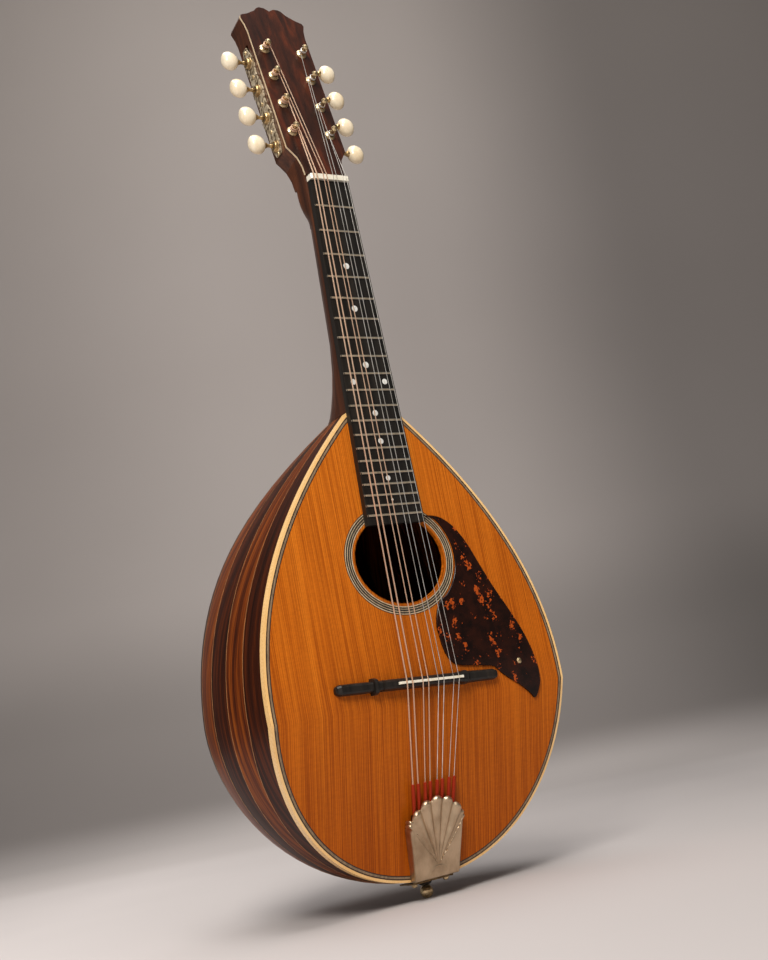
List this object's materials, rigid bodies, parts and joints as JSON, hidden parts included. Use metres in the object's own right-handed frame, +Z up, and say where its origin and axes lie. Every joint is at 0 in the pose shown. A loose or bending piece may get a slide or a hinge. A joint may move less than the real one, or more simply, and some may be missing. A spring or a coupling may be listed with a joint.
{
  "type": "mandola",
  "caption": "Bowl-backed mandola with paired strings, side tuners on a lobed head, a top bent back below the floating bridge, and a sliding shell-shaped tailpiece cover",
  "frame": {"origin": "centre of the bounding box in X and Y, at the bottom of the end pin's ball, on which the instrument stands upright", "axes": "+Z up along the neck from tail to head; the soundboard faces -Y; +X is the right of a viewer who faces the soundboard, the treble side"},
  "size_m": [0.2608, 0.197, 0.7342],
  "materials": {
    "spruce": "amber lacquered spruce with fine straight grain, satin gloss",
    "dark_rosewood": "dark brown rosewood, lacquered",
    "reddish_rosewood": "reddish brown rosewood, lacquered",
    "mahogany": "dark stained mahogany, lacquered",
    "ebony": "near-black ebony, oiled",
    "cream_binding": "cream celluloid, polished",
    "grey_purfling": "dark and light wood lines, lacquered",
    "bone": "polished bone",
    "tortoise": "tortoise celluloid with orange-red flecks, polished",
    "ivory_plastic": "ivory celluloid, polished",
    "aged_brass": "aged brass",
    "satin_nickel": "satin nickel, slightly tarnished",
    "bronze_wound": "bronze winding",
    "plain_steel": "plain bright steel"
  },
  "bodies": {
    "body": {"brace_1": "spruce", "brace_2": "spruce", "bridge": "ebony", "edge_binding": "cream_binding", "end_pin": "aged_brass", "fingerboard": "ebony", "head_veneer": "dark_rosewood", "neck": "mahogany", "nut": "bone", "pickguard": "tortoise", "pickguard_screw": "aged_brass", "purfling": "grey_purfling", "rim_lining": "mahogany", "rosette": "ebony", "saddle": "bone", "soundboard": "spruce", "stave_01": "reddish_rosewood", "stave_02": "dark_rosewood", "stave_03": "reddish_rosewood", "stave_04": "dark_rosewood", "stave_05": "reddish_rosewood", "stave_06": "dark_rosewood", "stave_07": "reddish_rosewood", "stave_08": "dark_rosewood", "stave_09": "reddish_rosewood", "stave_10": "dark_rosewood", "stave_11": "reddish_rosewood", "stave_12": "dark_rosewood", "stave_13": "reddish_rosewood", "stave_14": "dark_rosewood", "stave_15": "reddish_rosewood", "string_1": "bronze_wound", "string_2": "bronze_wound", "string_3": "bronze_wound", "string_4": "bronze_wound", "string_5": "plain_steel", "string_6": "plain_steel", "string_7": "plain_steel", "string_8": "plain_steel", "tail_block": "mahogany", "tailpiece_base": "aged_brass", "tuner_plate_left": "satin_nickel", "tuner_plate_right": "satin_nickel"},
    "cover": {"tailpiece_cover": "satin_nickel"},
    "key_left_1": {"key_left_1": "ivory_plastic"},
    "key_left_2": {"key_left_2": "ivory_plastic"},
    "key_left_3": {"key_left_3": "ivory_plastic"},
    "key_left_4": {"key_left_4": "ivory_plastic"},
    "key_right_1": {"key_right_1": "ivory_plastic"},
    "key_right_2": {"key_right_2": "ivory_plastic"},
    "key_right_3": {"key_right_3": "ivory_plastic"},
    "key_right_4": {"key_right_4": "ivory_plastic"},
    "post_left_1": {"post_left_1": "aged_brass"},
    "post_left_2": {"post_left_2": "aged_brass"},
    "post_left_3": {"post_left_3": "aged_brass"},
    "post_left_4": {"post_left_4": "aged_brass"},
    "post_right_1": {"post_right_1": "aged_brass"},
    "post_right_2": {"post_right_2": "aged_brass"},
    "post_right_3": {"post_right_3": "aged_brass"},
    "post_right_4": {"post_right_4": "aged_brass"}
  },
  "joints": [
    {"name": "key_left_1_turn", "type": "hinge", "parent": "body", "child": "key_left_1", "pos_m": [-0.046, -0.06731, 0.5932], "axis": [-1, 0, 0], "continuous": true},
    {"name": "post_left_1_turn", "type": "hinge", "parent": "body", "child": "post_left_1", "pos_m": [-0.0175, -0.07623, 0.60174], "axis": [0, -0.9781, 0.2079], "continuous": true},
    {"name": "key_left_2_turn", "type": "hinge", "parent": "body", "child": "key_left_2", "pos_m": [-0.046, -0.06128, 0.62156], "axis": [-1, 0, 0], "continuous": true},
    {"name": "post_left_2_turn", "type": "hinge", "parent": "body", "child": "post_left_2", "pos_m": [-0.0175, -0.0702, 0.63011], "axis": [0, -0.9781, 0.2079], "continuous": true},
    {"name": "key_left_3_turn", "type": "hinge", "parent": "body", "child": "key_left_3", "pos_m": [-0.046, -0.05525, 0.64993], "axis": [-1, 0, 0], "continuous": true},
    {"name": "post_left_3_turn", "type": "hinge", "parent": "body", "child": "post_left_3", "pos_m": [-0.0175, -0.06417, 0.65847], "axis": [0, -0.9781, 0.2079], "continuous": true},
    {"name": "key_left_4_turn", "type": "hinge", "parent": "body", "child": "key_left_4", "pos_m": [-0.046, -0.04922, 0.6783], "axis": [-1, 0, 0], "continuous": true},
    {"name": "post_left_4_turn", "type": "hinge", "parent": "body", "child": "post_left_4", "pos_m": [-0.0175, -0.05814, 0.68684], "axis": [0, -0.9781, 0.2079], "continuous": true},
    {"name": "key_right_1_turn", "type": "hinge", "parent": "body", "child": "key_right_1", "pos_m": [0.046, -0.06731, 0.5932], "axis": [1, 0, 0], "continuous": true},
    {"name": "post_right_1_turn", "type": "hinge", "parent": "body", "child": "post_right_1", "pos_m": [0.0175, -0.07623, 0.60174], "axis": [0, -0.9781, 0.2079], "continuous": true},
    {"name": "key_right_2_turn", "type": "hinge", "parent": "body", "child": "key_right_2", "pos_m": [0.046, -0.06128, 0.62156], "axis": [1, 0, 0], "continuous": true},
    {"name": "post_right_2_turn", "type": "hinge", "parent": "body", "child": "post_right_2", "pos_m": [0.0175, -0.0702, 0.63011], "axis": [0, -0.9781, 0.2079], "continuous": true},
    {"name": "key_right_3_turn", "type": "hinge", "parent": "body", "child": "key_right_3", "pos_m": [0.046, -0.05525, 0.64993], "axis": [1, 0, 0], "continuous": true},
    {"name": "post_right_3_turn", "type": "hinge", "parent": "body", "child": "post_right_3", "pos_m": [0.0175, -0.06417, 0.65847], "axis": [0, -0.9781, 0.2079], "continuous": true},
    {"name": "key_right_4_turn", "type": "hinge", "parent": "body", "child": "key_right_4", "pos_m": [0.046, -0.04922, 0.6783], "axis": [1, 0, 0], "continuous": true},
    {"name": "post_right_4_turn", "type": "hinge", "parent": "body", "child": "post_right_4", "pos_m": [0.0175, -0.05814, 0.68684], "axis": [0, -0.9781, 0.2079], "continuous": true},
    {"name": "cover_slide", "type": "slide", "parent": "body", "child": "cover", "axis": [0, -0.299, 0.9542], "range_m": [0, 0.03]}
  ],
  "couplings": [
    {"joint": "post_left_1_turn", "follows": "key_left_1_turn", "ratio": -0.083333},
    {"joint": "post_left_2_turn", "follows": "key_left_2_turn", "ratio": -0.083333},
    {"joint": "post_left_3_turn", "follows": "key_left_3_turn", "ratio": -0.083333},
    {"joint": "post_left_4_turn", "follows": "key_left_4_turn", "ratio": -0.083333},
    {"joint": "post_right_1_turn", "follows": "key_right_1_turn", "ratio": 0.083333},
    {"joint": "post_right_2_turn", "follows": "key_right_2_turn", "ratio": 0.083333},
    {"joint": "post_right_3_turn", "follows": "key_right_3_turn", "ratio": 0.083333},
    {"joint": "post_right_4_turn", "follows": "key_right_4_turn", "ratio": 0.083333}
  ]
}
